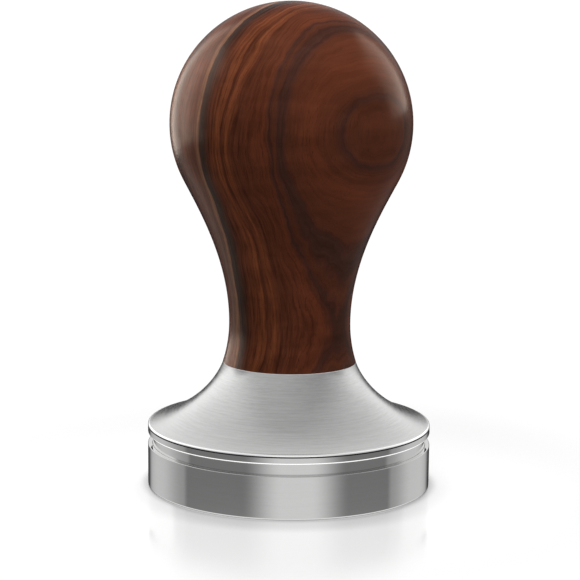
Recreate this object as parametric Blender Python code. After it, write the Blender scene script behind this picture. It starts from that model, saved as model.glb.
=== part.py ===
"""Calibrated 58 mm espresso tamper, built the way it comes apart on a bench.

A turned wooden knob screws onto a flared steel collar. Under the collar a short sleeve slides
in the cup of a polished tamping disc, against one coil spring around a central stem. Pressing
down closes the gap between the collar's rim and the disc, which happens at about 30 lbf.

Units are metres, +Z is up, and the origin is the middle of the flat tamping face.
"""

import math

import bmesh
import bpy

# Driving dimensions
BASE_R = 0.0290  # 58 mm basket
DISC_H = 0.0086  # tamping disc
RIM_LOW = 0.0109  # underside of the collar's rim
RIM_TOP = 0.0128  # top of the collar's rim
JOINT_Z = 0.0253  # top of the collar, where the knob stands
NECK_Z = 0.0335  # narrowest place of the knob
NECK_R = 0.0124
BALL_Z = 0.0740  # middle of the knob's ball
BALL_R = 0.0245

# Clearances
FIT = 0.0001  # faces that bear on each other
SLIDE = 0.00025  # round pieces that slide or screw in each other

# Tamping disc and its cup
CUP_R = 0.0281
CUP_FLOOR = 0.0044
POCKET_R = 0.0082
POCKET_FLOOR = 0.0032
DISC_CHAMFER = 0.0004
EDGE = 0.00015  # broken edge of turned steel
CHAMFER = 0.0003  # chamfer of the plate and of the screws

# Retaining plate, which traps the stem's head in the disc
PLATE_R = 0.0190
PLATE_TOP = 0.0070
HUB_R = 0.0090
HUB_TOP = 0.0106
HUB_HOLLOW_R = 0.0076
HUB_CEILING = 0.0082
BUSH_SEAT_R = 0.0069

# Its countersunk screws
SCREW_COUNT = 3
SCREW_CIRCLE_R = 0.0149
SCREW_R = 0.0014
SCREW_HEAD_R = 0.0027
SCREW_HEAD_H = 0.0015
SCREW_END = 0.0020
SCREW_HOLE_OVER = 0.0020  # how far the hole's cutter stands above the plate
SOCKET_R = 0.00115
SOCKET_DEPTH = 0.0011

# Guide bush
BUSH_BORE_R = 0.00525
BUSH_R = 0.0066
BUSH_END = 0.0083
BUSH_FLANGE_R = 0.0083
BUSH_FLANGE_H = 0.0008

# Stem: trapped head, sliding shaft, threaded stud
HEAD_R = 0.0070
HEAD_LOW = 0.0060
HEAD_TOP = 0.0080
SHAFT_R = 0.0050
STUD_R = 0.0040
STUD_TOP = 0.0434
STUD_CHAMFER = 0.0007

# Coil spring, drawn at its fitted length
WIRE_R = 0.0012
COIL_R = 0.0105
SPRING_TURNS = 2.75
END_TURNS = 0.75
END_PITCH = 0.00255
SPRING_LOW = PLATE_TOP + FIT
SPRING_TOP = 0.0196

# Thrust washer between the spring and the collar
WASHER_IN_R = 0.0053
WASHER_OUT_R = 0.0120
WASHER_LOW = SPRING_TOP + FIT
WASHER_TOP = 0.0205

# Collar
SLEEVE_R = 0.02785
SLEEVE_IN_R = 0.0252
SLEEVE_LOW = 0.0070
SLEEVE_CHAMFER = 0.0002
CAVITY_EAVE = 0.0110
CAVITY_SHOULDER = 0.0166
CHAMBER_R = 0.0125
WEB_LOW = WASHER_TOP + 2 * FIT
FOOT_R = 0.01365  # collar and knob where they meet
SKIRT_TOP_SLOPE = math.radians(70.0)
SKIRT_RIM_SLOPE = math.radians(15.8)
SKIRT_TOP_REACH = 0.0050
SKIRT_RIM_REACH = 0.0085

# Lock washer and thin nut, which clamp the stem to the collar
NUT_FLAT = 0.0065
NUT_LOW = 0.0265
NUT_TOP = 0.0305
LOCK_R = 0.0068
LOCK_TOP = 0.0264

# Knob
KNOB_LOW = JOINT_Z + FIT
KNOB_BALL_END = math.radians(27.5)  # below the ball's equator
NECK_TOP_REACH = 0.0070
NECK_LOW_REACH = 0.0125
COUNTERBORE_R = 0.0084
COUNTERBORE_TOP = 0.0312
INSERT_HOLE_R = 0.00620
INSERT_HOLE_TOP = 0.0480
DRILL_TIP = 0.0020  # cone at the end of that hole

# Threaded insert in the knob
INSERT_R = 0.0060
INSERT_LOW = 0.0314
INSERT_TOP = 0.0460
WAIST_DEPTH = 0.0006
WAIST_HALF = 0.0004  # half its straight part
WAIST_END = 0.0008  # half its whole length

# Rubber ring in the knob's foot
SEAL_R = 0.0105
SEAL_WIRE_R = 0.0006
SEAL_SLOT_HALF = 0.0008
SEAL_SLOT_TOP = 0.02675

# How finely the round shapes are divided
ROUND_LARGE = 64
ROUND_PLATE = 48
ROUND_SMALL = 36
ROUND_HOLE = 16
ROUND_SCREW = 12
BALL_STEPS = 13
NECK_STEPS = 10
FLARE_STEPS = 5
SKIRT_STEPS = 12
WIRE_STEPS = 8
SPRING_STEPS_PER_TURN = 16
SHARP = math.radians(32.0)
ON_AXIS = 1e-7  # a smaller radius is a point on the axis


def clear_scene():
    for item in list(bpy.data.objects):
        bpy.data.objects.remove(item)


def principled(name, colour, roughness, metallic):
    """A plain Principled material."""
    material = bpy.data.materials.new(name)
    material.use_nodes = True
    shader = material.node_tree.nodes["Principled BSDF"]
    shader.inputs["Base Color"].default_value = (*colour, 1.0)
    shader.inputs["Roughness"].default_value = roughness
    shader.inputs["Metallic"].default_value = metallic
    material.diffuse_color = (*colour, 1.0)
    return material


def polished_steel(name):
    return principled(name, (0.66, 0.66, 0.65), 0.10, 1.0)


def satin_steel(name):
    return principled(name, (0.60, 0.60, 0.59), 0.32, 1.0)


def machined_steel(name):
    return principled(name, (0.47, 0.47, 0.46), 0.30, 1.0)


def zinc_plated(name):
    return principled(name, (0.62, 0.63, 0.65), 0.25, 1.0)


def spring_steel(name):
    return principled(name, (0.32, 0.32, 0.33), 0.28, 1.0)


def brass(name):
    return principled(name, (0.72, 0.52, 0.22), 0.28, 1.0)


def bronze(name):
    return principled(name, (0.55, 0.33, 0.17), 0.38, 1.0)


def nylon(name):
    return principled(name, (0.80, 0.79, 0.74), 0.45, 0.0)


def rubber(name):
    return principled(name, (0.02, 0.02, 0.02), 0.70, 0.0)


def dark_rosewood(name):
    return principled(name, (0.075, 0.021, 0.012), 0.22, 0.0)


def arc(centre_r, centre_z, radius, start, end, steps):
    """Points along a circle in the (r, z) plane, from angle start to angle end, both included."""
    points = []
    for i in range(steps + 1):
        angle = start + (end - start) * i / steps
        points.append((centre_r + radius * math.cos(angle), centre_z + radius * math.sin(angle)))
    return points


def bezier(p0, p1, p2, p3, steps):
    """Points along a cubic Bezier curve in the (r, z) plane, without its first point."""
    points = []
    for i in range(1, steps + 1):
        t = i / steps
        weights = ((1 - t) ** 3, 3 * t * (1 - t) ** 2, 3 * t * t * (1 - t), t**3)
        points.append(
            tuple(sum(w * p[axis] for w, p in zip(weights, (p0, p1, p2, p3))) for axis in (0, 1))
        )
    return points


def through_neck(foot_r):
    """The knob's outline below its ball: an easy curve into the neck, then a flare to the foot."""
    end = KNOB_BALL_END
    start = (BALL_R * math.cos(end), BALL_Z - BALL_R * math.sin(end))
    along = (-math.sin(end), -math.cos(end))
    points = bezier(
        start,
        (start[0] + along[0] * NECK_TOP_REACH, start[1] + along[1] * NECK_TOP_REACH),
        (NECK_R, NECK_Z + NECK_LOW_REACH),
        (NECK_R, NECK_Z),
        NECK_STEPS,
    )
    drop = NECK_Z - KNOB_LOW
    spread = foot_r - NECK_R
    flare = (drop * drop + spread * spread) / (2 * spread)
    turn = math.asin(drop / flare)
    points += arc(NECK_R + flare, NECK_Z, flare, math.pi, math.pi + turn, FLARE_STEPS)[1:]
    return points


def skirt():
    """The collar's outer curve, from its top edge down to its rim."""
    top = (FOOT_R, JOINT_Z)
    rim = (BASE_R - EDGE, RIM_TOP)
    down = (math.cos(SKIRT_TOP_SLOPE), -math.sin(SKIRT_TOP_SLOPE))
    back = (-math.cos(SKIRT_RIM_SLOPE), math.sin(SKIRT_RIM_SLOPE))
    return bezier(
        top,
        (top[0] + down[0] * SKIRT_TOP_REACH, top[1] + down[1] * SKIRT_TOP_REACH),
        (rim[0] + back[0] * SKIRT_RIM_REACH, rim[1] + back[1] * SKIRT_RIM_REACH),
        rim,
        SKIRT_STEPS,
    )


def mesh_object(name, bm, material):
    """Turns a bmesh into a smooth-shaded object with one material."""
    bmesh.ops.recalc_face_normals(bm, faces=bm.faces)
    mesh = bpy.data.meshes.new(name)
    bm.to_mesh(mesh)
    bm.free()
    mesh.shade_smooth()
    mesh.set_sharp_from_angle(angle=SHARP)
    mesh.materials.append(material)
    made = bpy.data.objects.new(name, mesh)
    bpy.context.scene.collection.objects.link(made)
    return made


def turned(name, outline, segments, material, closed=False):
    """A lathe piece around Z. An open outline starts and ends on the axis; a closed one is a ring."""
    bm = bmesh.new()
    rings = []
    for radius, height in outline:
        if radius < ON_AXIS:
            rings.append([bm.verts.new((0.0, 0.0, height))])
            continue
        turns = [2 * math.pi * i / segments for i in range(segments)]
        rings.append(
            [bm.verts.new((radius * math.cos(a), radius * math.sin(a), height)) for a in turns]
        )
    pairs = list(zip(rings, rings[1:]))
    if closed:
        pairs.append((rings[-1], rings[0]))
    for upper, lower in pairs:
        for i in range(segments):
            j = (i + 1) % segments
            corners = [upper[i % len(upper)], lower[i % len(lower)]]
            if len(lower) > 1:
                corners.append(lower[j])
            if len(upper) > 1:
                corners.append(upper[j])
            bm.faces.new(corners)
    return mesh_object(name, bm, material)


def boolean_cut(target, cutter):
    """Cuts one object out of another and keeps the cutter as a hidden guide."""
    modifier = target.modifiers.new("Cut " + cutter.name, "BOOLEAN")
    modifier.operation = "DIFFERENCE"
    modifier.solver = "EXACT"
    modifier.object = cutter
    cutter.hide_render = True
    cutter.display_type = "WIRE"


def screw_places():
    return [
        (SCREW_CIRCLE_R * math.cos(a), SCREW_CIRCLE_R * math.sin(a))
        for a in (2 * math.pi * i / SCREW_COUNT + math.pi / 2 for i in range(SCREW_COUNT))
    ]


def screw_hole_cutter(name, x, y):
    """A countersunk clearance hole, a little larger than the screw all over."""
    countersink = SCREW_HEAD_R + SLIDE
    shank = SCREW_R + SLIDE
    top = PLATE_TOP + SCREW_HOLE_OVER
    outline = [
        (0.0, top),
        (countersink, top),
        (countersink, PLATE_TOP - CHAMFER),
        (shank, PLATE_TOP - SCREW_HEAD_H - SLIDE),
        (shank, SCREW_END - SLIDE),
        (0.0, SCREW_END - SLIDE),
    ]
    cutter = turned(name, outline, ROUND_HOLE, machined_steel(name))
    cutter.location = (x, y, 0.0)
    return cutter


def make_base_disc():
    """The tamping disc: a polished cup, flat below, whose wall guides the collar's sleeve."""
    outline = [
        (0.0, POCKET_FLOOR),
        (POCKET_R, POCKET_FLOOR),
        (POCKET_R, CUP_FLOOR),
        (CUP_R, CUP_FLOOR),
        (CUP_R, DISC_H),
        (BASE_R - EDGE, DISC_H),
        (BASE_R, DISC_H - EDGE),
        (BASE_R, DISC_CHAMFER),
        (BASE_R - DISC_CHAMFER, 0.0),
        (0.0, 0.0),
    ]
    return turned("base_disc", outline, ROUND_LARGE, polished_steel("disc_steel"))


def make_retaining_plate():
    """A flanged ring screwed into the cup. Its hub holds the bush and stops the stem's head."""
    outline = [
        (HUB_HOLLOW_R, CUP_FLOOR + FIT),
        (HUB_HOLLOW_R, HUB_CEILING),
        (BUSH_SEAT_R, HUB_CEILING),
        (BUSH_SEAT_R, HUB_TOP),
        (HUB_R - CHAMFER, HUB_TOP),
        (HUB_R, HUB_TOP - CHAMFER),
        (HUB_R, PLATE_TOP),
        (PLATE_R - CHAMFER, PLATE_TOP),
        (PLATE_R, PLATE_TOP - CHAMFER),
        (PLATE_R, CUP_FLOOR + FIT),
    ]
    material = machined_steel("plate_steel")
    return turned("retaining_plate", outline, ROUND_PLATE, material, closed=True)


def make_plate_screw(name, x, y):
    """A countersunk M3 screw with a hexagon socket."""
    outline = [
        (0.0, PLATE_TOP - SOCKET_DEPTH),
        (SOCKET_R, PLATE_TOP - SOCKET_DEPTH),
        (SOCKET_R, PLATE_TOP),
        (SCREW_HEAD_R, PLATE_TOP),
        (SCREW_HEAD_R, PLATE_TOP - CHAMFER),
        (SCREW_R, PLATE_TOP - SCREW_HEAD_H),
        (SCREW_R, SCREW_END + CHAMFER),
        (SCREW_R - CHAMFER, SCREW_END),
        (0.0, SCREW_END),
    ]
    screw = turned(name, outline, ROUND_SCREW, zinc_plated(name + "_zinc"))
    screw.location = (x, y, 0.0)
    return screw


def make_guide_bush():
    """A flanged bronze bush in the plate's hub, where the stem's shaft slides."""
    flange_low = HUB_TOP + FIT
    flange_top = flange_low + BUSH_FLANGE_H
    outline = [
        (BUSH_BORE_R, BUSH_END),
        (BUSH_BORE_R, flange_top),
        (BUSH_FLANGE_R, flange_top),
        (BUSH_FLANGE_R, flange_low),
        (BUSH_R, flange_low),
        (BUSH_R, BUSH_END),
    ]
    return turned("guide_bush", outline, ROUND_SMALL, bronze("bush_bronze"), closed=True)


def spring_height(turn):
    """Height of the wire's middle after so many turns: closed end coils, open coils between."""
    low = SPRING_LOW + WIRE_R
    high = SPRING_TOP - WIRE_R
    open_turns = SPRING_TURNS - 2 * END_TURNS
    open_pitch = (high - low - 2 * END_TURNS * END_PITCH) / open_turns
    if turn < END_TURNS:
        return low + turn * END_PITCH
    if turn < END_TURNS + open_turns:
        return low + END_TURNS * END_PITCH + (turn - END_TURNS) * open_pitch
    return high - (SPRING_TURNS - turn) * END_PITCH


def make_main_spring():
    """The compression spring, as a round wire along its helix."""
    curve = bpy.data.curves.new("main_spring", "CURVE")
    curve.dimensions = "3D"
    curve.bevel_depth = WIRE_R
    curve.bevel_resolution = 2
    curve.use_fill_caps = True
    steps = int(SPRING_TURNS * SPRING_STEPS_PER_TURN)
    wire = curve.splines.new("POLY")
    wire.points.add(steps)
    for i, point in enumerate(wire.points):
        turn = SPRING_TURNS * i / steps
        angle = 2 * math.pi * turn
        point.co = (COIL_R * math.cos(angle), COIL_R * math.sin(angle), spring_height(turn), 1.0)
    curve.materials.append(spring_steel("spring_wire"))
    made = bpy.data.objects.new("main_spring", curve)
    bpy.context.scene.collection.objects.link(made)
    return made


def make_spring_washer():
    """The nylon thrust washer that lets the collar turn on top of the spring."""
    outline = [
        (WASHER_IN_R, WASHER_LOW),
        (WASHER_IN_R, WASHER_TOP),
        (WASHER_OUT_R, WASHER_TOP),
        (WASHER_OUT_R, WASHER_LOW),
    ]
    return turned("spring_washer", outline, ROUND_SMALL, nylon("washer_nylon"), closed=True)


def make_collar():
    """The flared collar: satin skirt, narrow rim, sleeve below it and a tapped web on top."""
    stud_hole = STUD_R + SLIDE
    outline = [
        (stud_hole, JOINT_Z),
        (FOOT_R, JOINT_Z),
        *skirt(),
        (BASE_R, RIM_TOP - EDGE),
        (BASE_R, RIM_LOW + EDGE),
        (BASE_R - EDGE, RIM_LOW),
        (SLEEVE_R, RIM_LOW),
        (SLEEVE_R, SLEEVE_LOW + SLEEVE_CHAMFER),
        (SLEEVE_R - SLEEVE_CHAMFER, SLEEVE_LOW),
        (SLEEVE_IN_R, SLEEVE_LOW),
        (SLEEVE_IN_R, CAVITY_EAVE),
        (CHAMBER_R, CAVITY_SHOULDER),
        (CHAMBER_R, WEB_LOW),
        (stud_hole, WEB_LOW),
    ]
    return turned("collar", outline, ROUND_LARGE, satin_steel("collar_steel"), closed=True)


def make_stem():
    """One turned piece: a head trapped under the plate, a sliding shaft and an M8 stud."""
    shoulder = WEB_LOW - FIT
    outline = [
        (0.0, STUD_TOP),
        (STUD_R - STUD_CHAMFER, STUD_TOP),
        (STUD_R, STUD_TOP - STUD_CHAMFER),
        (STUD_R, shoulder),
        (SHAFT_R, shoulder),
        (SHAFT_R, HEAD_TOP),
        (HEAD_R, HEAD_TOP),
        (HEAD_R, HEAD_LOW),
        (0.0, HEAD_LOW),
    ]
    return turned("stem", outline, ROUND_SMALL, machined_steel("stem_steel"))


def make_lock_washer():
    """The spring lock washer under the nut."""
    hole = STUD_R + SLIDE
    low = JOINT_Z + FIT
    outline = [(hole, low), (hole, LOCK_TOP), (LOCK_R, LOCK_TOP), (LOCK_R, low)]
    return turned("lock_washer", outline, ROUND_SMALL, zinc_plated("lock_zinc"), closed=True)


def make_jam_nut():
    """The thin M8 nut that holds the stem in the collar."""
    corner = NUT_FLAT / math.cos(math.pi / 6)
    hole = STUD_R + SLIDE
    sides = 6
    bm = bmesh.new()
    rings = []
    for radius, height in ((hole, NUT_LOW), (hole, NUT_TOP), (corner, NUT_TOP), (corner, NUT_LOW)):
        count = sides if radius == corner else sides * 4
        turns = [2 * math.pi * i / count for i in range(count)]
        rings.append(
            [bm.verts.new((radius * math.cos(a), radius * math.sin(a), height)) for a in turns]
        )
    for i in range(sides * 4):
        j = (i + 1) % (sides * 4)
        bm.faces.new((rings[0][i], rings[0][j], rings[1][j], rings[1][i]))
    for i in range(sides):
        j = (i + 1) % sides
        bm.faces.new((rings[2][i], rings[2][j], rings[3][j], rings[3][i]))
        for outer, inner in ((rings[2], rings[1]), (rings[3], rings[0])):
            fan = [inner[(4 * i + k) % (4 * sides)] for k in range(4, -1, -1)]
            bm.faces.new((outer[i], outer[j], *fan))
    return mesh_object("jam_nut", bm, zinc_plated("nut_zinc"))


def make_handle():
    """The wooden knob, with a counterbore for the nut and a blind hole for the insert."""
    slot_in = SEAL_R - SEAL_SLOT_HALF
    slot_out = SEAL_R + SEAL_SLOT_HALF
    ball = arc(0.0, BALL_Z, BALL_R, math.pi / 2, -KNOB_BALL_END, BALL_STEPS)
    outline = [
        (0.0, BALL_Z + BALL_R),
        *ball[1:],
        *through_neck(FOOT_R),
        (slot_out, KNOB_LOW),
        (slot_out, SEAL_SLOT_TOP),
        (slot_in, SEAL_SLOT_TOP),
        (slot_in, KNOB_LOW),
        (COUNTERBORE_R, KNOB_LOW),
        (COUNTERBORE_R, COUNTERBORE_TOP),
        (INSERT_HOLE_R, COUNTERBORE_TOP),
        (INSERT_HOLE_R, INSERT_HOLE_TOP),
        (0.0, INSERT_HOLE_TOP + DRILL_TIP),
    ]
    return turned("handle", outline, ROUND_LARGE, dark_rosewood("handle_wood"))


def make_threaded_insert():
    """The brass M8 insert pressed into the knob."""
    bore = STUD_R + SLIDE
    waist = INSERT_R - WAIST_DEPTH
    middle = (INSERT_LOW + INSERT_TOP) / 2
    outline = [
        (bore, INSERT_LOW),
        (bore, INSERT_TOP),
        (INSERT_R, INSERT_TOP),
        (INSERT_R, middle + WAIST_END),
        (waist, middle + WAIST_HALF),
        (waist, middle - WAIST_HALF),
        (INSERT_R, middle - WAIST_END),
        (INSERT_R, INSERT_LOW),
    ]
    return turned("threaded_insert", outline, ROUND_SMALL, brass("insert_brass"), closed=True)


def make_foot_seal():
    """The rubber ring in the knob's foot, which rubs on the collar's top and keeps coffee out."""
    middle = KNOB_LOW + SEAL_WIRE_R
    outline = arc(SEAL_R, middle, SEAL_WIRE_R, 0.0, -2 * math.pi, WIRE_STEPS)[:-1]
    return turned("foot_seal", outline, ROUND_SMALL, rubber("seal_rubber"), closed=True)


def main():
    clear_scene()
    disc = make_base_disc()
    plate = make_retaining_plate()
    for number, (x, y) in enumerate(screw_places(), start=1):
        make_plate_screw(f"plate_screw_{number}", x, y)
        cutter = screw_hole_cutter(f"screw_hole_{number}", x, y)
        boolean_cut(disc, cutter)
        boolean_cut(plate, cutter)
    make_guide_bush()
    make_main_spring()
    make_spring_washer()
    make_collar()
    make_stem()
    make_lock_washer()
    make_jam_nut()
    make_foot_seal()
    make_threaded_insert()
    make_handle()


main()
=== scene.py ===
"""Looks of the calibrated espresso tamper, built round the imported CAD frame.

Every round piece is turned again here at a finer grain, with its edges broken, real threads and a
ground spring. Units are metres, +Z is up, and the origin is the middle of the tamping face.
"""

import math

import bmesh
import bpy
from mathutils import Euler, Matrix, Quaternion, Vector


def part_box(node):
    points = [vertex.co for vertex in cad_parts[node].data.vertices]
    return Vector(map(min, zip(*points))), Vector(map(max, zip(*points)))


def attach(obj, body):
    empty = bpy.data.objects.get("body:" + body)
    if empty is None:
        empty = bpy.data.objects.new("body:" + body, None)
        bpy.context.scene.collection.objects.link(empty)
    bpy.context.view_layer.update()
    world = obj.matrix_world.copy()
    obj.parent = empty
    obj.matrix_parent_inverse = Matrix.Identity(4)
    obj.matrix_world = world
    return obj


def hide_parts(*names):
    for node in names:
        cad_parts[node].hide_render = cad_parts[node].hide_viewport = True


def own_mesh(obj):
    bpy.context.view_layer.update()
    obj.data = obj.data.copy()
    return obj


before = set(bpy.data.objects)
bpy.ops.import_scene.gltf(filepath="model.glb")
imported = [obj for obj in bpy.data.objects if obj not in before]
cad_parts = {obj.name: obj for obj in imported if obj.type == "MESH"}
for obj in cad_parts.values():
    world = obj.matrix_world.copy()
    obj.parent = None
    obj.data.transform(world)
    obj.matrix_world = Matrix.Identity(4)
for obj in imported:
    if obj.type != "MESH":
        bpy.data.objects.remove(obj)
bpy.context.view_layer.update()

# ---------------------------------------------------------------- sizes, read from the frame


def low(node):
    """The low corner of a CAD node's box."""
    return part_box(node)[0]


def high(node):
    """The high corner of a CAD node's box."""
    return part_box(node)[1]


BASE_R = high("base_disc").x
DISC_H = high("base_disc").z
SLEEVE_LOW = low("collar").z
JOINT_Z = high("collar").z
KNOB_LOW = low("handle").z
KNOB_TOP = high("handle").z
BALL_R = high("handle").x
BALL_Z = KNOB_TOP - BALL_R

# Outline of knob and collar
NECK_Z = 0.0335
NECK_R = 0.0124
FOOT_R = 0.01365
RIM_LOW = 0.0109
RIM_TOP = 0.0128
BALL_END = math.radians(27.5)
NECK_TOP_REACH = 0.0070
NECK_LOW_REACH = 0.0125
SKIRT_TOP_SLOPE = math.radians(70.0)
SKIRT_RIM_SLOPE = math.radians(15.8)
SKIRT_TOP_REACH = 0.0050
SKIRT_RIM_REACH = 0.0085

# Screw thread M8
THREAD_R = 0.0040
THREAD_PITCH = 0.00125
THREAD_DEPTH = 0.00061
CREST_START, CREST_END = 0.0625, 0.4375
THREAD_PHASES = (0.0, CREST_START, CREST_END, 0.5625, 0.9375)

# Fineness of the meshes
ROUND = 256
ROUND_SMALL = 96
BALL_STEPS, NECK_STEPS, FOOT_STEPS, SKIRT_STEPS = 72, 40, 16, 48
CORNER_STEPS = 5
SHARP = math.radians(35.0)
SAME_POINT = 1e-8
FLAT_WEIGHT = 60


# ---------------------------------------------------------------- outlines


def arc(centre_r, centre_z, radius, start, end, steps):
    """Points along a circle in the (r, z) plane, both ends included."""
    turns = [start + (end - start) * i / steps for i in range(steps + 1)]
    return [(centre_r + radius * math.cos(a), centre_z + radius * math.sin(a)) for a in turns]


def bezier(p0, p1, p2, p3, steps):
    """Points along a cubic Bezier curve in the (r, z) plane, without its first point."""
    points = []
    for i in range(1, steps + 1):
        t = i / steps
        weights = ((1 - t) ** 3, 3 * t * (1 - t) ** 2, 3 * t * t * (1 - t), t**3)
        points.append(
            tuple(sum(w * p[axis] for w, p in zip(weights, (p0, p1, p2, p3))) for axis in (0, 1))
        )
    return points


def broken(corners):
    """An open outline with its corners rounded. A corner is (r, z) or (r, z, rounding radius)."""
    points = []
    for i, corner in enumerate(corners):
        at = corner[:2]
        size = corner[2] if len(corner) > 2 else 0.0
        if size == 0.0 or i in (0, len(corners) - 1):
            points.append(at)
            continue
        before = corners[i - 1][:2]
        after = corners[i + 1][:2]
        ways = []
        for other in (before, after):
            reach = math.hypot(other[0] - at[0], other[1] - at[1])
            ways.append(((other[0] - at[0]) / reach, (other[1] - at[1]) / reach))
        cosine = ways[0][0] * ways[1][0] + ways[0][1] * ways[1][1]
        half = math.acos(max(-1.0, min(1.0, cosine))) / 2
        back = size / math.tan(half)
        start = (at[0] + ways[0][0] * back, at[1] + ways[0][1] * back)
        end = (at[0] + ways[1][0] * back, at[1] + ways[1][1] * back)
        middle = (ways[0][0] + ways[1][0], ways[0][1] + ways[1][1])
        length = math.hypot(*middle)
        out = size / math.sin(half)
        centre = (at[0] + middle[0] / length * out, at[1] + middle[1] / length * out)
        first = math.atan2(start[1] - centre[1], start[0] - centre[0])
        sweep = math.atan2(end[1] - centre[1], end[0] - centre[0]) - first
        sweep = (sweep + math.pi) % (2 * math.pi) - math.pi
        points += arc(centre[0], centre[1], size, first, first + sweep, CORNER_STEPS)
    return points


def knob_outline():
    """The knob from its crown to its foot: ball, easy curve into the neck, flare to the joint."""
    points = arc(0.0, BALL_Z, BALL_R, math.pi / 2, -BALL_END, BALL_STEPS)
    points[0] = (0.0, KNOB_TOP)
    start = points[-1]
    along = (-math.sin(BALL_END), -math.cos(BALL_END))
    points += bezier(
        start,
        (start[0] + along[0] * NECK_TOP_REACH, start[1] + along[1] * NECK_TOP_REACH),
        (NECK_R, NECK_Z + NECK_LOW_REACH),
        (NECK_R, NECK_Z),
        NECK_STEPS,
    )
    drop = NECK_Z - KNOB_LOW
    spread = FOOT_R - NECK_R
    flare = (drop * drop + spread * spread) / (2 * spread)
    turn = math.asin(drop / flare)
    points += arc(NECK_R + flare, NECK_Z, flare, math.pi, math.pi + turn, FOOT_STEPS)[1:]
    return points


def skirt_outline(rim_r):
    """The collar's outer curve, from its top edge to its rim."""
    top = (FOOT_R, JOINT_Z)
    rim = (rim_r, RIM_TOP)
    down = (math.cos(SKIRT_TOP_SLOPE), -math.sin(SKIRT_TOP_SLOPE))
    back = (-math.cos(SKIRT_RIM_SLOPE), math.sin(SKIRT_RIM_SLOPE))
    return [top] + bezier(
        top,
        (top[0] + down[0] * SKIRT_TOP_REACH, top[1] + down[1] * SKIRT_TOP_REACH),
        (rim[0] + back[0] * SKIRT_RIM_REACH, rim[1] + back[1] * SKIRT_RIM_REACH),
        rim,
        SKIRT_STEPS,
    )


# ---------------------------------------------------------------- meshes


def finish_mesh(name, bm, materials, sharp=SHARP, weighted=True):
    """A smooth-shaded object from a bmesh. Flat faces keep their own normals."""
    bmesh.ops.remove_doubles(bm, verts=bm.verts, dist=SAME_POINT)
    bmesh.ops.recalc_face_normals(bm, faces=bm.faces)
    mesh = bpy.data.meshes.new(name)
    bm.to_mesh(mesh)
    bm.free()
    mesh.shade_smooth()
    mesh.set_sharp_from_angle(angle=sharp)
    for material in materials:
        mesh.materials.append(material)
    made = bpy.data.objects.new(name, mesh)
    bpy.context.scene.collection.objects.link(made)
    if weighted:
        normals = made.modifiers.new("Flat faces stay flat", "WEIGHTED_NORMAL")
        normals.keep_sharp = True
        normals.weight = FLAT_WEIGHT
    return made


def around(radius, angle, height):
    """A point at a radius, a turn round Z and a height."""
    return (radius * math.cos(angle), radius * math.sin(angle), height)


def turned_mesh(outline, segments, closed=False, wobble=None):
    """A lathe surface round Z. wobble(radius, height, angle) may change the radius."""
    bm = bmesh.new()
    rings = []
    for radius, height in outline:
        if radius < SAME_POINT:
            rings.append([bm.verts.new((0.0, 0.0, height))])
            continue
        ring = []
        for i in range(segments):
            angle = 2 * math.pi * i / segments
            r = wobble(radius, height, angle) if wobble else radius
            ring.append(bm.verts.new(around(r, angle, height)))
        rings.append(ring)
    pairs = list(zip(rings, rings[1:]))
    if closed:
        pairs.append((rings[-1], rings[0]))
    for upper, lower in pairs:
        for i in range(segments):
            j = (i + 1) % segments
            corners = [upper[i % len(upper)], lower[i % len(lower)]]
            if len(lower) > 1:
                corners.append(lower[j])
            if len(upper) > 1:
                corners.append(upper[j])
            bm.faces.new(corners)
    return bm


def turned(name, outline, materials, segments, closed=False, wobble=None):
    """A finished object off the lathe."""
    return finish_mesh(name, turned_mesh(outline, segments, closed, wobble), materials)


def threaded_surface(bm, z_low, z_high, segments, radius_at):
    """Adds the wall of a right-hand thread between two heights.

    Each row of points winds up one pitch and keeps its place on the tooth, its phase from 0 to 1.
    radius_at(phase, height) shapes the tooth.
    """
    turns = int((z_high - z_low) / THREAD_PITCH) + 3
    rings = []
    for turn in range(-2, turns):
        for phase in THREAD_PHASES:
            ring = []
            for i in range(segments + 1):
                height = z_low + (turn + phase + i / segments) * THREAD_PITCH
                height = min(max(height, z_low), z_high)
                radius = radius_at(phase, height)
                angle = 2 * math.pi * i / segments
                ring.append(bm.verts.new(around(radius, angle, height)))
            rings.append(ring)
    for lower, upper in zip(rings, rings[1:]):
        for i in range(segments):
            bm.faces.new((lower[i], lower[i + 1], upper[i + 1], upper[i]))


def join_sections(bm, sections):
    """Walls between closed sections in a row, and a face at each end."""
    for first, second in zip(sections, sections[1:]):
        for k in range(len(first)):
            n = (k + 1) % len(first)
            bm.faces.new((first[k], first[n], second[n], second[k]))
    bm.faces.new(sections[0])
    bm.faces.new(sections[-1])


# ---------------------------------------------------------------- shader graphs


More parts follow.
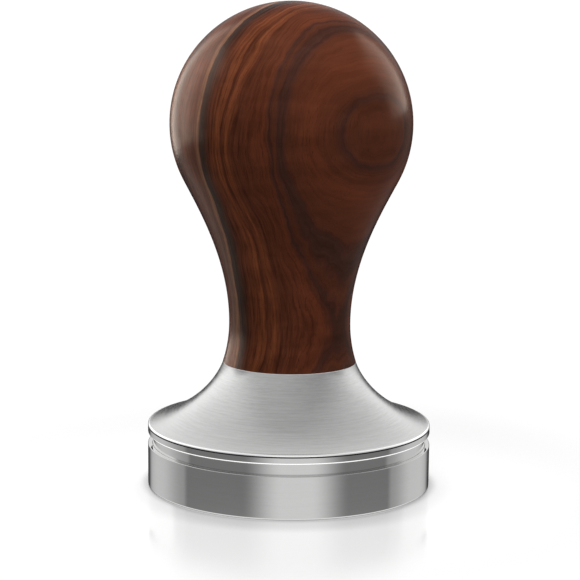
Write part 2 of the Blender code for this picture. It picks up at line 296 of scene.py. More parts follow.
class Graph:
    """A short way to write a node graph: values and sockets go in by position."""

    def __init__(self, tree):
        self.tree = tree

    def node(self, kind, *inputs, **settings):
        made = self.tree.nodes.new("ShaderNode" + kind)
        for key, value in settings.items():
            setattr(made, key, value)
        for socket, value in zip(made.inputs, inputs):
            self.feed(socket, value)
        return made

    def feed(self, socket, value):
        if value is None:
            return
        if isinstance(value, bpy.types.NodeSocket):
            self.tree.links.new(value, socket)
        else:
            socket.default_value = value

    def math(self, operation, a, b=None, c=None):
        return self.node("Math", a, b, c, operation=operation).outputs[0]

    def vector(self, operation, a, b=None):
        made = self.node("VectorMath", a, b, operation=operation)
        return made.outputs["Value" if operation in ("DOT_PRODUCT", "LENGTH") else "Vector"]

    def scaled(self, vector, x, y, z):
        return self.vector("MULTIPLY", vector, (x, y, z))

    def split(self, vector):
        return self.node("SeparateXYZ", vector).outputs

    def joined(self, x, y, z):
        return self.node("CombineXYZ", x, y, z).outputs[0]

    def noise(self, vector, scale, detail, roughness=0.5):
        made = self.node("TexNoise", vector)
        made.inputs["Scale"].default_value = scale
        made.inputs["Detail"].default_value = detail
        made.inputs["Roughness"].default_value = roughness
        return made.outputs["Fac"]

    def mixed(self, factor, a, b):
        """The number between a and b at a factor from 0 to 1."""
        made = self.node("Mix", factor)
        self.feed(made.inputs[2], a)
        self.feed(made.inputs[3], b)
        return made.outputs[0]

    def step(self, value, start, end, first=0.0, last=1.0):
        """A smooth step from first to last as value goes from start to end."""
        made = self.node("MapRange", value, interpolation_type="SMOOTHSTEP", clamp=True)
        limits = {"From Min": start, "From Max": end, "To Min": first, "To Max": last}
        for name, number in limits.items():
            self.feed(made.inputs[name], number)
        return made.outputs["Result"]

    def turn_step(self, angle, limits, first=0.0, last=1.0):
        """A smooth step between two angles. The limits are in degrees."""
        return self.step(angle, math.radians(limits[0]), math.radians(limits[1]), first, last)

    def ramp(self, value, stops):
        """Colours along a value. A stop is (position, (r, g, b))."""
        made = self.node("ValToRGB", value)
        elements = made.color_ramp.elements
        elements[0].position = stops[0][0]
        elements[0].color = (*stops[0][1], 1.0)
        elements[1].position = stops[-1][0]
        elements[1].color = (*stops[-1][1], 1.0)
        for position, colour in stops[1:-1]:
            elements.new(position).color = (*colour, 1.0)
        return made.outputs["Color"]

    def mix(self, factor, a, b, blend="MIX"):
        made = self.node("Mix", data_type="RGBA", blend_type=blend)
        self.feed(made.inputs[0], factor)
        self.feed(made.inputs[6], a)
        self.feed(made.inputs[7], b)
        return made.outputs[2]

    def shaded(self, colour, shade):
        """A colour times a number."""
        return self.mix(1.0, colour, self.joined(shade, shade, shade), "MULTIPLY")

    def bump(self, height, strength, distance):
        made = self.node("Bump")
        made.inputs["Strength"].default_value = strength
        made.inputs["Distance"].default_value = distance
        self.feed(made.inputs["Height"], height)
        return made.outputs["Normal"]


def new_material(name, **shader_values):
    """A Principled material, its graph, its shader and the place on the object.

    The named values go on the shader's own sockets.
    """
    material = bpy.data.materials.new(name)
    material.use_nodes = True
    graph = Graph(material.node_tree)
    shader = material.node_tree.nodes["Principled BSDF"]
    for key, value in shader_values.items():
        shader.inputs[key.replace("_", " ")].default_value = value
    place = graph.node("TexCoord").outputs["Object"]
    return material, graph, shader, place


# Lines left by a lathe
LATHE_DRIFT = 0.0012  # how much the lines change on the way round, in metres of noise
COARSE_LINES = 0.22  # number of coarse lines to one fine line
COARSE_SHARE = 0.45
WEAR_SCALE = 140.0
WEAR_SHARE = 0.3


def turned_metal(name, colour, roughness, lines, depth, spread=0.06, anisotropic=0.0, patina=0.08):
    """Metal off a lathe: fine lines round the axis, in colour, roughness and bump.

    lines is how many lines fall in a metre of profile, depth is their height in metres, spread is
    how far the roughness varies and patina how far the colour does.
    """
    material, graph, shader, place = new_material(name, Metallic=1.0, Anisotropic=anisotropic)
    x, y, z = graph.split(place)
    radius = graph.vector("LENGTH", graph.joined(x, y, 0.0))
    along = graph.math("SUBTRACT", radius, z)
    round_x = graph.math("MULTIPLY", graph.math("DIVIDE", x, radius), LATHE_DRIFT)
    round_y = graph.math("MULTIPLY", graph.math("DIVIDE", y, radius), LATHE_DRIFT)
    profile = graph.joined(round_x, round_y, along)
    coarse = graph.noise(profile, lines * COARSE_LINES, detail=3.0, roughness=0.6)
    fine = graph.noise(profile, lines, detail=4.0, roughness=0.65)
    fine = graph.math("MULTIPLY", fine, 1.0 - COARSE_SHARE)
    both = graph.math("MULTIPLY_ADD", coarse, COARSE_SHARE, fine)
    tint = graph.step(both, 0.35, 0.65, 1.0 - patina, 1.0 + patina)
    wear = graph.noise(place, WEAR_SCALE, detail=4.0, roughness=0.6)
    soft = graph.step(wear, 0.3, 0.7, 1.0 - patina * WEAR_SHARE, 1.0)
    shade = graph.math("MULTIPLY", tint, soft)
    graph.feed(shader.inputs["Base Color"], graph.shaded((*colour, 1.0), shade))
    rough = graph.step(both, 0.3, 0.7, roughness - spread, roughness + spread)
    graph.feed(shader.inputs["Roughness"], rough)
    graph.feed(shader.inputs["Normal"], graph.bump(both, 1.0, depth))
    if anisotropic:
        tangent = graph.node("Tangent", direction_type="RADIAL", axis="Z").outputs[0]
        graph.feed(shader.inputs["Tangent"], tangent)
    return material


# Finishes with no direction
CLOUD_SCALE = 0.12  # of the grain's scale
MOTTLE = 0.25  # share of the speckle, and of the clouds, in the colour


def cast_finish(name, colour, roughness, metallic, grain, depth, spread=0.08):
    """A finish with no direction, such as plating, sintered bronze, nylon or rubber."""
    material, graph, shader, place = new_material(name, Metallic=metallic)
    speckle = graph.noise(place, grain, detail=4.0, roughness=0.6)
    cloud = graph.noise(place, grain * CLOUD_SCALE, detail=3.0)
    shade = graph.math("MULTIPLY_ADD", cloud, MOTTLE, 1.0 - MOTTLE)
    shade = graph.math("MULTIPLY_ADD", speckle, MOTTLE, shade)
    graph.feed(shader.inputs["Base Color"], graph.shaded((*colour, 1.0), shade))
    rough = graph.step(cloud, 0.3, 0.7, roughness - spread, roughness + spread)
    graph.feed(shader.inputs["Roughness"], rough)
    graph.feed(shader.inputs["Normal"], graph.bump(speckle, 0.6, depth))
    return material


# Direction across the growth rings: the knob's bullseye faces this way
RING_WAY = (0.700, -0.712, -0.03)

# Colours across the rings, as linear light, from the far side of the knob (0) to the bullseye (1)
HEARTWOOD = (0.0490, 0.0147, 0.0075)
RED_WOOD = (0.0620, 0.0172, 0.0080)
ORANGE_WOOD = (0.0890, 0.0260, 0.0108)
TAN_STREAK = (0.1050, 0.0480, 0.0270)
PURPLE_WOOD = (0.0310, 0.0122, 0.0085)
BLACK_STREAK = (0.0200, 0.0118, 0.0093)
RING_COLOURS = (
    (0.00, HEARTWOOD), (0.08, RED_WOOD), (0.13, PURPLE_WOOD), (0.16, HEARTWOOD),
    (0.24, ORANGE_WOOD), (0.27, HEARTWOOD), (0.30, PURPLE_WOOD), (0.32, HEARTWOOD),
    (0.39, RED_WOOD), (0.455, HEARTWOOD), (0.475, TAN_STREAK), (0.484, TAN_STREAK),
    (0.488, BLACK_STREAK), (0.494, PURPLE_WOOD), (0.500, BLACK_STREAK), (0.511, BLACK_STREAK),
    (0.550, HEARTWOOD), (0.605, ORANGE_WOOD), (0.620, HEARTWOOD), (0.640, ORANGE_WOOD),
    (0.665, HEARTWOOD), (0.750, RED_WOOD), (0.765, PURPLE_WOOD), (0.780, HEARTWOOD),
    (0.800, PURPLE_WOOD), (0.822, PURPLE_WOOD), (0.840, HEARTWOOD), (0.900, RED_WOOD),
    (0.950, HEARTWOOD), (0.967, PURPLE_WOOD), (0.973, HEARTWOOD), (1.0, HEARTWOOD),
)


DARK_LINE, PLAIN_LINE, LIGHT_LINE = (0.56, 0.54, 0.53), (1.0, 1.0, 1.0), (1.42, 1.38, 1.34)
VEIN_TINT = (0.42, 0.40, 0.42, 1.0)
PORE_COLOUR = (0.012, 0.006, 0.004, 1.0)
GRAIN_HEIGHT = 0.00002
# How the rings bend: squeeze along the grain, scale, detail and roughness of each noise
SWAY = (0.45, 48.0, 2.0, 0.5)
RIPPLE = (0.16, 260.0, 3.0, 0.55)
WIGGLE = (0.55, 300.0, 3.0, 0.6)
RIPPLE_SIZE = 0.045
# Scales of the fine lines and of the veins: across the rings and along the grain
LINE_SCALE, LINE_RATE = 46.0, 3.0
VEIN_ACROSS, VEIN_ALONG, VEIN_WIDTH = 30.0, 22.0, 0.040
CURL_SQUEEZE, CURL_SCALE = 0.25, 330.0
PORE_SQUEEZE, PORE_SCALE, PORE_STRENGTH = 0.07, 5200.0, 0.45


def shifted(graph, across, centred, wave, size):
    """A position across the rings, moved by a noise that is long along the grain."""
    squeeze, scale, detail, roughness = wave
    noise = graph.noise(graph.scaled(centred, 1.0, 1.0, squeeze), scale, detail, roughness)
    return graph.math("MULTIPLY_ADD", graph.math("SUBTRACT", noise, 0.5), size, across)


def across_rings(graph, centred, rise):
    """Where a point lies across the rings: 1 is the ball's surface at the bullseye."""
    across = graph.math("DIVIDE", graph.vector("DOT_PRODUCT", centred, RING_WAY), BALL_R)
    sway = graph.step(across, 0.60, 0.95, 0.26, 0.05)
    across = shifted(graph, across, centred, SWAY, sway)
    across = shifted(graph, across, centred, RIPPLE, RIPPLE_SIZE)
    outward = graph.step(across, 0.2, 0.6, 0.015, 0.06)
    calmer = graph.step(across, 0.7, 0.9, 1.0, 0.25)
    wiggle = graph.math("MULTIPLY", outward, calmer)
    across = shifted(graph, across, centred, WIGGLE, wiggle)

    # The innermost rings are flatter than the ball, so that they look round from the front
    flatter = graph.step(across, 0.70, 0.92, 0.0, 0.32)
    fall = graph.math("MULTIPLY", graph.math("MULTIPLY", rise, rise), flatter)
    return graph.math("SUBTRACT", across, fall)


def rosewood():
    """Dark polished rosewood. The growth rings are nearly flat sheets across RING_WAY."""
    material, graph, shader, place = new_material(
        "dark_rosewood", IOR=1.45, Specular_IOR_Level=0.01, Specular_Tint=(1.0, 0.72, 0.6, 1.0)
    )
    centred = graph.vector("SUBTRACT", place, (0.0, 0.0, BALL_Z))
    z = graph.split(centred)[2]
    across = across_rings(graph, centred, graph.math("DIVIDE", z, BALL_R))
    band = graph.math("MULTIPLY_ADD", across, 0.5, 0.5)
    colour = graph.ramp(band, RING_COLOURS)

    # Fine lines inside the rings, long along the grain
    along = graph.joined(across, graph.math("MULTIPLY", z, LINE_RATE), 0.0)
    lines = graph.noise(along, LINE_SCALE, detail=5.0, roughness=0.66)
    streaks = graph.ramp(lines, ((0.35, DARK_LINE), (0.49, PLAIN_LINE), (0.66, LIGHT_LINE)))
    strength = graph.step(band, 0.55, 0.85, 0.9, 0.35)
    colour = graph.mix(strength, colour, graph.mix(1.0, colour, streaks, "MULTIPLY"))

    # Veins: thin dark lines that follow the rings
    drift_across = graph.math("MULTIPLY", across, VEIN_ACROSS)
    drift = graph.joined(drift_across, graph.math("MULTIPLY", z, VEIN_ALONG), 0.0)
    level = graph.math("SUBTRACT", graph.noise(drift, 1.0, detail=2.0), 0.5)
    vein = graph.step(graph.math("ABSOLUTE", level), 0.0, VEIN_WIDTH, 1.0, 0.0)
    strength = graph.math("MULTIPLY", vein, graph.step(band, 0.60, 0.80, 0.55, 0.16))
    colour = graph.mix(strength, colour, graph.mix(1.0, colour, VEIN_TINT, "MULTIPLY"))

    # Curly figure: faint ripples across the grain
    curl = graph.scaled(centred, CURL_SQUEEZE, CURL_SQUEEZE, 1.0)
    curl = graph.noise(curl, CURL_SCALE, detail=2.0)
    colour = graph.shaded(colour, graph.step(curl, 0.30, 0.70, 0.90, 1.12))

    # Pores: short dark dashes along the grain
    pores = graph.noise(graph.scaled(place, 1.0, 1.0, PORE_SQUEEZE), PORE_SCALE, detail=2.0)
    pore = graph.step(pores, 0.60, 0.72)
    colour = graph.mix(graph.math("MULTIPLY", pore, PORE_STRENGTH), colour, PORE_COLOUR)
    graph.feed(shader.inputs["Base Color"], colour)
    rough = graph.math("MULTIPLY_ADD", lines, 0.12, 0.17)
    graph.feed(shader.inputs["Roughness"], graph.math("MULTIPLY_ADD", pore, 0.2, rough))
    height = graph.math("MULTIPLY_ADD", pore, -1.0, graph.math("MULTIPLY", lines, 0.3))
    graph.feed(shader.inputs["Normal"], graph.bump(height, 0.25, GRAIN_HEIGHT))
    return material


# Glow of the painted highlight along the rim's edges
EDGE_GLOW = 0.22


def painted_highlight_edge():
    """A painted highlight: bright metal with a faint glow, for the thin bright lines along the rim's
    edges.
    """
    material = turned_metal(
        "painted_highlight_edge", (0.97, 0.97, 0.965), 0.12, lines=9000, depth=1.0e-6, spread=0.03, patina=0.03
    )
    shader = material.node_tree.nodes["Principled BSDF"]
    shader.inputs["Emission Color"].default_value = (1.0, 1.0, 1.0, 1.0)
    shader.inputs["Emission Strength"].default_value = EDGE_GLOW
    return material


WOOD = rosewood()
SATIN = turned_metal(
    "satin_steel", (0.66, 0.66, 0.655), 0.20,
    lines=9500, depth=2.6e-6, spread=0.04, anisotropic=0.35, patina=0.075,
)
POLISHED = turned_metal(
    "polished_steel", (0.65, 0.65, 0.645), 0.050, lines=7000, depth=4.0e-8, spread=0.012, patina=0.015
)
PAINTED_EDGE_HIGHLIGHT = painted_highlight_edge()
MACHINED = turned_metal(
    "machined_steel", (0.47, 0.47, 0.46), 0.30, lines=6000, depth=4.0e-6, anisotropic=0.2, patina=0.10
)
BRASS = turned_metal("brass", (0.72, 0.52, 0.22), 0.26, lines=5000, depth=3.0e-6, patina=0.10)
SHADE_LINE = cast_finish("shade_line", (0.012, 0.012, 0.012), 0.6, 0.0, grain=2600, depth=4e-6)
ZINC = cast_finish("zinc_plate", (0.62, 0.63, 0.65), 0.24, 1.0, grain=5200, depth=9e-7)
SPRING_WIRE = cast_finish("spring_steel", (0.32, 0.32, 0.33), 0.30, 1.0, grain=1800, depth=5e-6)
BRONZE = cast_finish("bronze", (0.55, 0.33, 0.17), 0.42, 1.0, grain=3200, depth=1.6e-5)
NYLON = cast_finish("nylon", (0.80, 0.79, 0.74), 0.48, 0.0, grain=2400, depth=6e-6)
RUBBER = cast_finish("rubber", (0.022, 0.022, 0.022), 0.68, 0.0, grain=2800, depth=1e-5)


# ---------------------------------------------------------------- pieces


def place_piece(piece, body, slot, *nodes):
    """Ties a piece to its body and hides the CAD nodes it stands for. The material slot is not used.
    """
    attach(piece, body)
    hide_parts(*nodes)
    return piece


def paint_faces(piece, choose):
    """Gives each face the material index that choose(radius, height) says."""
    for polygon in piece.data.polygons:
        x, y, z = polygon.center
        polygon.material_index = choose(math.hypot(x, y), z)


def make_knob():
    """The wooden knob, with the bore for the insert and a groove for the seal in its foot."""
    counterbore_r, counterbore_top = 0.0084, 0.0312
    hole_r, hole_top, drill_tip = 0.0062, 0.0480, 0.002
    slot_in, slot_out, slot_top = 0.0097, 0.0113, 0.02675
    foot = [
        (slot_out, KNOB_LOW),
        (slot_out, slot_top),
        (slot_in, slot_top),
        (slot_in, KNOB_LOW),
        (counterbore_r, KNOB_LOW),
        (counterbore_r, counterbore_top),
        (hole_r, counterbore_top),
        (hole_r, hole_top),
        (0.0, hole_top + drill_tip),
    ]
    knob = turned("knob", knob_outline() + foot, [WOOD], ROUND)
    return place_piece(knob, "handle", "dark_rosewood", "handle")


def make_collar():
    """The flared collar: satin skirt, narrow rim with a painted highlight on its edges, polished
    sleeve and machined inside.
    """
    sleeve_r, sleeve_in, sleeve_top = 0.02807, 0.0252, 0.0110
    sleeve_chamfer = 0.00020
    chamber_r, chamber_low, chamber_top = 0.0125, 0.0166, 0.0207
    stud_hole = THREAD_R + 0.00025
    edge, low_edge = 0.00030, 0.00028
    line_depth, line_width, line_slope = 0.00016, 0.00028, 0.00003
    rim_r = BASE_R - edge
    line_top = RIM_TOP - edge
    under = broken(
        [
            (rim_r, RIM_TOP),
            (BASE_R, RIM_TOP, edge * 0.90),
            (BASE_R, line_top),
            (BASE_R - line_depth, line_top - line_slope),
            (BASE_R - line_depth, line_top - line_width + line_slope),
            (BASE_R, line_top - line_width),
            (BASE_R, RIM_LOW, low_edge),
            (sleeve_r, RIM_LOW, 0.00010),
            (sleeve_r, SLEEVE_LOW, sleeve_chamfer),
            (sleeve_in, SLEEVE_LOW, sleeve_chamfer),
            (sleeve_in, sleeve_top, 0.0004),
            (chamber_r, chamber_low, 0.0006),
            (chamber_r, chamber_top, 0.0003),
            (stud_hole, chamber_top),
        ]
    )
    outline = [(stud_hole, JOINT_Z)] + skirt_outline(rim_r)[:-1] + under
    satin, polished, machined, bright, shade = range(5)
    finishes = [SATIN, POLISHED, MACHINED, PAINTED_EDGE_HIGHLIGHT, SHADE_LINE]
    collar = turned("collar_body", outline, finishes, ROUND, closed=True)
    inner_r = sleeve_in + 0.0004
    wall = 0.0012
    bright_height = 0.00024
    line_r = sleeve_r + 0.0005
    skirt_low = RIM_TOP - 0.00002

    def finish_of(radius, height):
        if radius < inner_r and height < skirt_height(radius) - wall:
            return machined
        # The rim's top edge and a band at its lower edge get the painted highlight
        if radius > rim_r and (height > line_top or RIM_LOW < height < RIM_LOW + bright_height):
            return bright
        if radius > line_r and height > line_top - line_width:
            return shade if height < line_top else satin
        return polished if height < skirt_low else satin

    paint_faces(collar, finish_of)
    return place_piece(collar, "collar", "satin_steel", "collar")


def skirt_height(radius):
    """Height of the skirt's outer surface at a radius."""
    points = skirt_outline(BASE_R)
    for (r0, z0), (r1, z1) in zip(points, points[1:]):
        if r0 <= radius <= r1:
            return z0 + (z1 - z0) * (radius - r0) / (r1 - r0)
    return JOINT_Z if radius < points[0][0] else RIM_TOP


def make_disc():
    """The polished tamping disc, with the cup for the sleeve and the pocket for the stem's head."""
    cup_r, cup_floor = 0.0281, 0.0044
    pocket_r, pocket_floor = 0.0082, 0.0032
    outline = broken(
        [
            (0.0, pocket_floor),
            (pocket_r, pocket_floor),
            (pocket_r, cup_floor, 0.0002),
            (cup_r, cup_floor, 0.0003),
            (cup_r, DISC_H, 0.00005),
            (BASE_R, DISC_H, 0.00015),
            (BASE_R, 0.0, 0.00030),
            (0.0, 0.0),
        ]
    )
    disc = turned("tamping_disc", outline, [POLISHED], ROUND)
    return place_piece(disc, "base", "polished_steel", "base_disc")


def make_stem():
    """Head, sliding shaft and a real M8 thread on the stud."""
    shoulder = 0.0206
    head_r, head_low, head_top = 0.0070, low("stem").z, 0.0080
    shaft_r = 0.0050
    top = high("stem").z
    crest = THREAD_R - 0.00003
    root = THREAD_R - THREAD_DEPTH
    thread_low = JOINT_Z - 0.0002
    end = THREAD_R - 0.0008
    weld, sliver, sharp = 2e-7, 1e-7, math.radians(28.0)

    def radius_at(phase, height):
        radius = crest if CREST_START <= phase <= CREST_END else crest - THREAD_DEPTH
        return min(radius, end + (top - height), root + max(0.0, height - thread_low))

    bm = turned_mesh(
        broken(
            [
                (root, thread_low),
                (root, shoulder),
                (shaft_r, shoulder, 0.0002),
                (shaft_r, head_top, 0.0002),
                (head_r, head_top, 0.0003),
                (head_r, head_low, 0.0003),
                (0.0, head_low),
            ]
        ),
        ROUND_SMALL,
    )
    threaded_surface(bm, thread_low, top, ROUND_SMALL, radius_at)
    turns = [2 * math.pi * i / ROUND_SMALL for i in range(ROUND_SMALL)]
    bm.faces.new([bm.verts.new(around(end, turn, top)) for turn in turns])
    bmesh.ops.remove_doubles(bm, verts=bm.verts, dist=weld)
    bmesh.ops.dissolve_degenerate(bm, edges=bm.edges, dist=sliver)
    stem = finish_mesh("threaded_stem", bm, [MACHINED], sharp, weighted=False)
    return place_piece(stem, "collar", "machined_steel", "stem")


def make_nut():
    """A thin hexagon nut with chamfered corners."""
    flat = high("jam_nut").y
    bottom, top = low("jam_nut").z, high("jam_nut").z
    hole, sink_width, sink_depth = THREAD_R - 0.0002, 0.0006, 0.0005
    round_zone = hole + 0.0009
    sixth = math.pi / 3
    corner = flat / math.cos(sixth / 2)
    cone = flat - 0.0001
    # The chamfer: how far out and how deep each of its points lies, and its depth at the corners
    chamfer = ((0.0, 0.0), (0.0003, 0.00014), (0.0006, 0.00030))
    corner_depth = 0.00052
    segments = 144

    def hexagon(radius, height, angle):
        if radius < round_zone:
            return radius
        return min(radius, flat / math.cos(angle % sixth - sixth / 2))

    outline = [(hole, bottom + sink_depth), (hole, top - sink_depth), (hole + sink_width, top)]
    outline += [(cone + out, top - deep) for out, deep in chamfer]
    outline += [(corner, top - corner_depth), (corner, bottom + corner_depth)]
    outline += [(cone + out, bottom + deep) for out, deep in reversed(chamfer)]
    outline += [(hole + sink_width, bottom)]
    nut = turned("thin_nut", outline, [ZINC], segments, closed=True, wobble=hexagon)
    return place_piece(nut, "collar", "zinc_plate", "jam_nut")


def make_lock_washer():
    """A split spring washer: a square ring cut through and sprung a little apart."""
    bottom, top = low("lock_washer").z, high("lock_washer").z
    outer, inner = high("lock_washer").x - 0.0001, THREAD_R + 0.0002
    gap = math.radians(7.0)
    steps = 90
    rise = 0.00012
    edge = 0.00008
    bm = bmesh.new()
    sections = []
    for i in range(steps + 1):
        share = i / steps
        angle = gap / 2 + (2 * math.pi - gap) * share
        lift = rise * (share - 0.5)
        low_z, high_z = bottom + rise / 2 + lift, top - rise / 2 + lift
        ring = [(inner, low_z), (outer, low_z), (outer, high_z), (inner, high_z)]
        sections.append([bm.verts.new(around(r, angle, z)) for r, z in ring])
    join_sections(bm, sections)
    washer = finish_mesh("split_washer", bm, [ZINC], weighted=False)
    bevel = washer.modifiers.new("Edges", "BEVEL")
    bevel.width = edge
    bevel.segments = 2
    return place_piece(washer, "collar", "zinc_plate", "lock_washer")


def make_spring():
    """The compression spring, with closed and ground ends."""
    bottom, top = low("main_spring").z, high("main_spring").z
    wire_r = 0.0012
    coil_r = (high("main_spring").x - low("main_spring").x) / 2 - wire_r
    turns, end_turns, end_pitch = 2.75, 0.75, 0.00255
    ground = wire_r * 0.45  # how far the first coil's middle stands above the ground face
    start, stop = bottom + ground, top - ground
    open_turns = turns - 2 * end_turns
    pitch = (stop - start - 2 * end_turns * end_pitch) / open_turns
    steps_per_turn, sides, sharp = 72, 20, math.radians(40.0)
    steps = int(turns * steps_per_turn)
    bm = bmesh.new()
    sections = []
    for i in range(steps + 1):
        turn = turns * i / steps
        angle = 2 * math.pi * turn
        opened = min(max(turn - end_turns, 0.0), open_turns)
        middle = start + (turn - opened) * end_pitch + opened * pitch
        ring = []
        for k in range(sides):
            a = 2 * math.pi * k / sides
            radius = coil_r + wire_r * math.cos(a)
            height = min(max(middle + wire_r * math.sin(a), bottom), top)
            ring.append(bm.verts.new(around(radius, angle, height)))
        sections.append(ring)
    join_sections(bm, sections)
    spring = finish_mesh("ground_spring", bm, [SPRING_WIRE], sharp, weighted=False)
    place_piece(spring, "base", "spring_steel", "main_spring")
    height = top - bottom
    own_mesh(spring)


def make_seal():
    """The rubber ring in the knob's foot face."""
    bottom, top = low("foot_seal").z, high("foot_seal").z
    wire_r = (top - bottom) / 2
    ring_r = high("foot_seal").x - wire_r
    steps = 20
    outline = arc(ring_r, bottom + wire_r, wire_r, 0.0, -2 * math.pi, steps)[:-1]
    seal = turned("seal_ring", outline, [RUBBER], ROUND_SMALL, closed=True)
    return place_piece(seal, "seal", "rubber", "foot_seal")


def make_insert():
    """The brass insert, with two knurled bands and a waist between them."""
    bottom, top = low("threaded_insert").z, high("threaded_insert").z
    outer = high("threaded_insert").x
    bore = THREAD_R + 0.0001
    chamfer = 0.0004
    middle = (bottom + top) / 2
    waist_r, waist_half, band_half, band_end = outer - 0.0006, 0.0004, 0.0008, 0.0003
    teeth, depth, slant_rate, flank = 36, 0.00022, 900.0, 2.6
    knurl_r = outer - 0.0003
    rows, segments = 26, 8 * teeth

    def knurl(radius, height, angle):
        if radius < knurl_r:
            return radius
        slant = (height - bottom) * slant_rate
        left = abs(((angle * teeth / (2 * math.pi) + slant) % 1.0) - 0.5)
        right = abs(((angle * teeth / (2 * math.pi) - slant) % 1.0) - 0.5)
        return radius - depth * (1.0 - min(1.0, flank * min(left, right)))

    def band(start, end):
        return [(outer, start + (end - start) * i / rows) for i in range(rows + 1)]

    outline = [(bore, bottom + chamfer), (bore, top - chamfer), (bore + chamfer, top)]
    outline += [(outer - chamfer, top)]
    outline += band(top - band_end, middle + band_half)
    outline += [(waist_r, middle + waist_half), (waist_r, middle - waist_half)]
    outline += band(middle - band_half, bottom + band_end)
    outline += [(outer - chamfer, bottom), (bore + chamfer, bottom)]
    insert = turned("knurled_insert", outline, [BRASS], segments, closed=True, wobble=knurl)
    return place_piece(insert, "handle", "brass", "threaded_insert")


CARRIED_FINISHES = {
    "retaining_plate": MACHINED,
    "plate_screw_1": ZINC,
    "plate_screw_2": ZINC,
    "plate_screw_3": ZINC,
    "guide_bush": BRONZE,
    "spring_washer": NYLON,
}
CARRIED_BEVEL = 0.00010
CARRIED_CORNER = math.radians(40.0)


def refine_carried_nodes():
    """Inner pieces whose CAD shape is right keep it, with a small bevel and a proper finish."""
    for name, material in CARRIED_FINISHES.items():
        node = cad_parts[name]
        node.data.materials.clear()
        node.data.materials.append(material)
        bevel = node.modifiers.new("Broken edges", "BEVEL")
        bevel.width = CARRIED_BEVEL
        bevel.segments = 2
        bevel.limit_method = "ANGLE"
        bevel.angle_limit = CARRIED_CORNER
        bevel.harden_normals = True


# ---------------------------------------------------------------- studio

WHITE = (1.0, 1.0, 1.0)
WARM = (1.0, 0.84, 0.72)
# Softboxes: name, azimuth, height, distance, aim height, width, length, power. Angles in degrees,
# azimuth 0 is the camera's side and 90 its right.
TOP_BOX = ("top_softbox", -20, 62, 0.8, 0.03, 0.6, 0.6, 4.0)
# Those for the wood only also say whether they show as a reflection (True) or light it (False)
WOOD_BOXES = (
    ("right_softbox", 123, 22, 0.45, BALL_Z, 0.29, 0.32, 4.1, True),
    ("left_softbox", -107, 16, 0.45, BALL_Z, 0.29, 0.46, 12.6, True),
    ("left_strip", -139, 15, 0.45, BALL_Z, 0.19, 0.46, 2.9, True),
    ("left_low_light", -112, -26, 0.13, BALL_Z, 0.084, 0.078, 0.07, True),
    ("knob_key", 2, 75, 0.17, BALL_Z, 0.12, 0.12, 0.37, False),
    ("neck_fill", 58, 4, 0.15, NECK_Z, 0.08, 0.08, 0.075, False),
)

# Camera: place, angles in radians, focal length on its sensor
CAMERA_PLACE = (0.0, -0.3720, 0.10098)
CAMERA_PITCH = 0.16215
CAMERA_ROLL = 0.0086
FOCAL_LENGTH_MM = 114.62
SENSOR_MM = 36.0
NEAR_CLIP = 0.01

# Table top
FLOOR_SIZE = 6.0
FLOOR_GAP = 0.00003
FLOOR_IOR = 1.95
FLOOR_TONES, FLOOR_CLOUDS = (0.29, 0.31), 30.0
FLOOR_GLOW = 0.535
CONTACT_SHADE, CONTACT_GLOW = 0.0025, 0.16
FRONT_SHADE, FRONT_LEVEL = 0.009, 0.66
FRONT_WAY = (0.0, 0.94, 0.34)
BLUR_END, NEAR_BLUR, FAR_BLUR = 0.070, 0.04, 0.26
SWEEP_START, SWEEP_END, SWEEP_LIGHT = 0.055, 0.100, 1.03


def shelter(graph, distance):
    """A node that says how open the floor is within a distance: 1 is open."""
    made = graph.node("AmbientOcclusion", samples=16)
    made.inputs["Distance"].default_value = distance
    return made


def make_floor():
    """A pale glossy table top round the object, which turns into a plain white sweep further out."""
    bpy.ops.mesh.primitive_plane_add(size=FLOOR_SIZE)
    floor = bpy.context.object
    floor.name = "floor"
    floor.location.z = -FLOOR_GAP
    material, graph, shader, place = new_material("pale_floor", IOR=FLOOR_IOR)
    shader.inputs["Emission Color"].default_value = (*WHITE, 1.0)
    tone = graph.step(graph.noise(place, FLOOR_CLOUDS, detail=3.0), 0.0, 1.0, *FLOOR_TONES)
    graph.feed(shader.inputs["Base Color"], graph.joined(tone, tone, tone))

    # A short contact shade all round, and a wider soft one in front, as from a light behind
    contact = shelter(graph, CONTACT_SHADE).outputs["AO"]
    lit = graph.step(contact, 0.45, 1.0, CONTACT_GLOW, FLOOR_GLOW)
    front = shelter(graph, FRONT_SHADE)
    graph.feed(front.inputs["Normal"], graph.joined(*FRONT_WAY))
    soft = graph.step(front.outputs["AO"], 0.50, 1.0, FRONT_LEVEL, 1.0)
    graph.feed(shader.inputs["Emission Strength"], graph.math("MULTIPLY", lit, soft))

    distance = graph.vector("LENGTH", place)
    blur = graph.step(distance, BASE_R, BLUR_END, NEAR_BLUR, FAR_BLUR)
    graph.feed(shader.inputs["Roughness"], blur)
    sweep = graph.node("Emission", (*WHITE, 1.0), SWEEP_LIGHT).outputs[0]
    far = graph.step(distance, SWEEP_START, SWEEP_END)
    mixed = graph.node("MixShader", far, shader.outputs[0], sweep).outputs[0]

    # Seen from below, the table top is clear, so that the tamping face shows
    clear = graph.node("BsdfTransparent").outputs[0]
    below = graph.node("NewGeometry").outputs["Backfacing"]
    mixed = graph.node("MixShader", below, mixed, clear).outputs[0]
    output = material.node_tree.nodes["Material Output"]
    material.node_tree.links.new(mixed, output.inputs["Surface"])
    floor.data.materials.append(material)
    floor.visible_glossy = False
    floor.visible_diffuse = False


